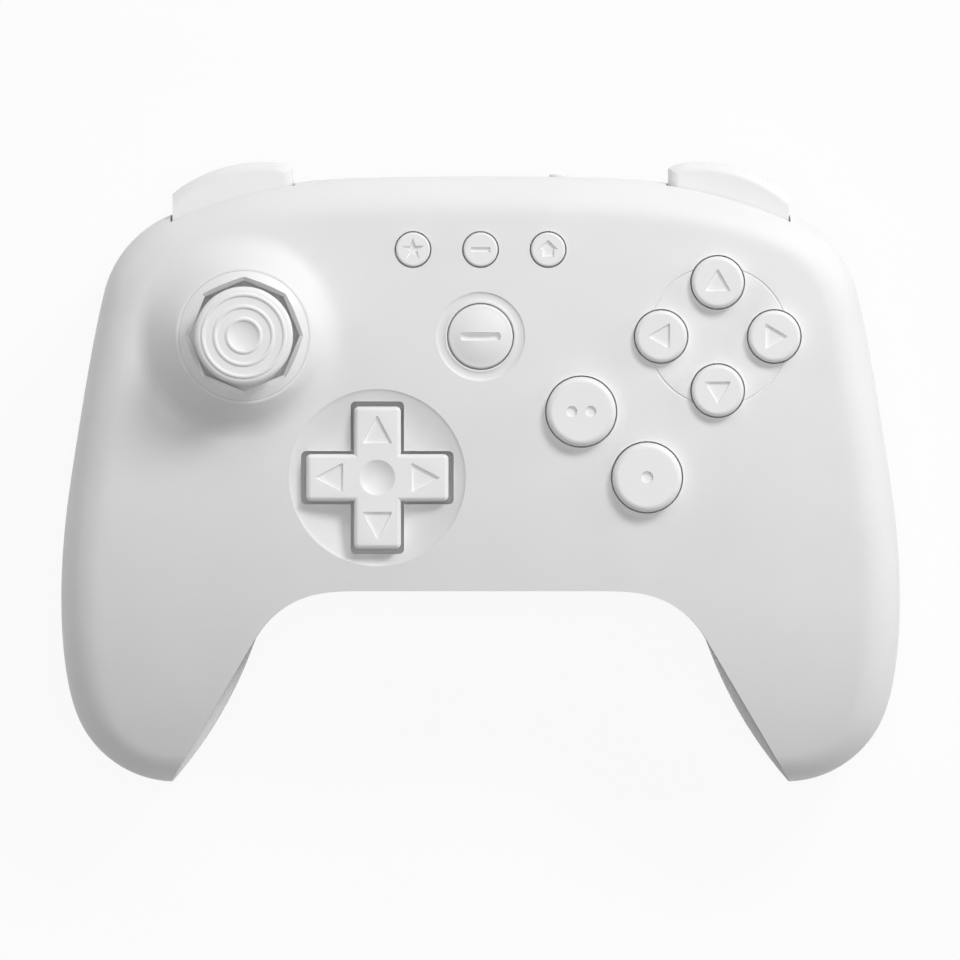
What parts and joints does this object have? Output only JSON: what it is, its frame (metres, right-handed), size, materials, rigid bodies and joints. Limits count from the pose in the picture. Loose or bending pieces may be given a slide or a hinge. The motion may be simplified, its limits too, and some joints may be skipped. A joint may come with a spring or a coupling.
{
  "type": "gamepad controller",
  "caption": "Two-handed gamepad with two grips, a thumb stick in an eight-sided gate, a cross pad, round face buttons, bumpers and triggers.",
  "frame": {"origin": "middle of the bounding box's bottom, on the surface the pad's grips lie on", "axes": "+X to the right grip, +Y towards the bumpers, +Z out of the face"},
  "size_m": [0.15, 0.1108, 0.0502],
  "materials": {
    "shell_plastic": "fine matte white",
    "button_plastic": "satin white",
    "cap_plastic": "satin white",
    "ring_plastic": "satin white",
    "black_plastic": "moulded black",
    "grey_plastic": "moulded grey",
    "rubber": "silicone rubber",
    "circuit_board": "green board",
    "steel": "bright steel",
    "motor_can": "drawn steel can",
    "brass_weight": "sintered weight",
    "battery_foil": "foil pouch"
  },
  "bodies": {
    "root": {"front_shell": "shell_plastic", "rear_shell": "shell_plastic", "stick_gate_ring": "ring_plastic", "stick_base": "black_plastic", "dpad_post": "black_plastic", "dpad_rubber": "rubber", "face_rubber": "rubber", "menu_rubber": "rubber", "button_board": "circuit_board", "main_board": "circuit_board", "shell_screws": "steel", "button_board_screws": "steel", "main_board_screws": "steel", "left_bumper_pin": "steel", "right_bumper_pin": "steel", "left_trigger_pin": "steel", "right_trigger_pin": "steel", "left_motor": "motor_can", "right_motor": "motor_can", "battery": "battery_foil", "usb_port": "steel", "pairing_switch": "black_plastic", "mode_switch_body": "black_plastic"},
    "stick_pitch_cradle": {"pitch_cradle": "grey_plastic"},
    "stick": {"stick_cap": "cap_plastic", "stick_shaft": "steel"},
    "stick_roll_cradle": {"roll_cradle": "grey_plastic"},
    "dpad_pivot": {"dpad_ball": "steel"},
    "dpad": {"dpad": "button_plastic"},
    "left_bumper": {"left_bumper": "button_plastic"},
    "right_bumper": {"right_bumper": "button_plastic"},
    "left_trigger": {"left_trigger": "button_plastic"},
    "right_trigger": {"right_trigger": "button_plastic"},
    "left_weight": {"left_weight": "brass_weight"},
    "right_weight": {"right_weight": "brass_weight"},
    "pairing_button": {"pairing_button": "button_plastic"},
    "mode_knob": {"mode_knob": "button_plastic"},
    "first_button": {"first_button": "button_plastic"},
    "second_button": {"second_button": "button_plastic"},
    "up_button": {"up_button": "button_plastic"},
    "down_button": {"down_button": "button_plastic"},
    "left_button": {"left_button": "button_plastic"},
    "right_button": {"right_button": "button_plastic"},
    "start_button": {"start_button": "button_plastic"},
    "star_button": {"star_button": "button_plastic"},
    "minus_button": {"minus_button": "button_plastic"},
    "home_button": {"home_button": "button_plastic"}
  },
  "joints": [
    {"name": "stick_pitch", "type": "hinge", "parent": "root", "child": "stick_pitch_cradle", "pos_m": [-0.04216, 0.02429, 0.023], "axis": [1, 0, 0], "range_deg": [-13, 13], "stiffness_Nm_per_rad": 0.05},
    {"name": "stick_roll", "type": "hinge", "parent": "stick_pitch_cradle", "child": "stick", "pos_m": [-0.04216, 0.02429, 0.023], "axis": [0, 1, 0], "range_deg": [-13, 13], "stiffness_Nm_per_rad": 0.05},
    {"name": "roll_cradle_turn", "type": "hinge", "parent": "root", "child": "stick_roll_cradle", "pos_m": [-0.04216, 0.02429, 0.023], "axis": [0, 1, 0], "range_deg": [-13, 13]},
    {"name": "dpad_rock_x", "type": "hinge", "parent": "root", "child": "dpad_pivot", "pos_m": [-0.01841, -0.00098, 0.0312], "axis": [1, 0, 0], "range_deg": [-3.5, 3.5], "stiffness_Nm_per_rad": 0.05, "deforming": ["dpad_rubber"]},
    {"name": "dpad_rock_y", "type": "hinge", "parent": "dpad_pivot", "child": "dpad", "pos_m": [-0.01841, -0.00098, 0.0312], "axis": [0, 1, 0], "range_deg": [-3.5, 3.5], "stiffness_Nm_per_rad": 0.05},
    {"name": "first_button_press", "type": "slide", "parent": "root", "child": "first_button", "axis": [0, 0, -1], "range_m": [0, 0.0012], "stiffness_N_per_m": 300, "deforming": ["face_rubber"]},
    {"name": "second_button_press", "type": "slide", "parent": "root", "child": "second_button", "axis": [0, 0, -1], "range_m": [0, 0.0012], "stiffness_N_per_m": 300},
    {"name": "up_button_press", "type": "slide", "parent": "root", "child": "up_button", "axis": [0, 0, -1], "range_m": [0, 0.0012], "stiffness_N_per_m": 300},
    {"name": "down_button_press", "type": "slide", "parent": "root", "child": "down_button", "axis": [0, 0, -1], "range_m": [0, 0.0012], "stiffness_N_per_m": 300},
    {"name": "left_button_press", "type": "slide", "parent": "root", "child": "left_button", "axis": [0, 0, -1], "range_m": [0, 0.0012], "stiffness_N_per_m": 300},
    {"name": "right_button_press", "type": "slide", "parent": "root", "child": "right_button", "axis": [0, 0, -1], "range_m": [0, 0.0012], "stiffness_N_per_m": 300},
    {"name": "start_button_press", "type": "slide", "parent": "root", "child": "start_button", "axis": [0, 0, -1], "range_m": [0, 0.0012], "stiffness_N_per_m": 300, "deforming": ["menu_rubber"]},
    {"name": "star_button_press", "type": "slide", "parent": "root", "child": "star_button", "axis": [0, 0, -1], "range_m": [0, 0.0008], "stiffness_N_per_m": 300},
    {"name": "minus_button_press", "type": "slide", "parent": "root", "child": "minus_button", "axis": [0, 0, -1], "range_m": [0, 0.0008], "stiffness_N_per_m": 300},
    {"name": "home_button_press", "type": "slide", "parent": "root", "child": "home_button", "axis": [0, 0, -1], "range_m": [0, 0.0008], "stiffness_N_per_m": 300},
    {"name": "left_bumper_press", "type": "hinge", "parent": "root", "child": "left_bumper", "pos_m": [-0.0304, 0.0462, 0.0273], "axis": [0, 0, 1], "range_deg": [0, 2.2], "stiffness_Nm_per_rad": 1},
    {"name": "right_bumper_press", "type": "hinge", "parent": "root", "child": "right_bumper", "pos_m": [0.0304, 0.0462, 0.0273], "axis": [0, 0, -1], "range_deg": [0, 2.2], "stiffness_Nm_per_rad": 1},
    {"name": "left_trigger_pull", "type": "hinge", "parent": "root", "child": "left_trigger", "pos_m": [-0.0445, 0.0409, 0.0174], "axis": [-1, 0, 0], "range_deg": [0, 14], "stiffness_Nm_per_rad": 0.2},
    {"name": "right_trigger_pull", "type": "hinge", "parent": "root", "child": "right_trigger", "pos_m": [0.0445, 0.0409, 0.0174], "axis": [-1, 0, 0], "range_deg": [0, 14], "stiffness_Nm_per_rad": 0.2},
    {"name": "left_weight_spin", "type": "hinge", "parent": "root", "child": "left_weight", "pos_m": [-0.058, -0.0301, 0.0124], "axis": [0, 1, 0], "continuous": true},
    {"name": "right_weight_spin", "type": "hinge", "parent": "root", "child": "right_weight", "pos_m": [0.058, -0.0301, 0.0124], "axis": [0, 1, 0], "continuous": true},
    {"name": "pairing_button_press", "type": "slide", "parent": "root", "child": "pairing_button", "axis": [0, -1, 0], "range_m": [0, 0.0007], "stiffness_N_per_m": 300},
    {"name": "mode_switch_slide", "type": "slide", "parent": "root", "child": "mode_knob", "axis": [1, 0, 0], "range_m": [-0.0015, 0.0015]}
  ],
  "couplings": [
    {"joint": "roll_cradle_turn", "follows": "stick_roll", "ratio": 1}
  ]
}
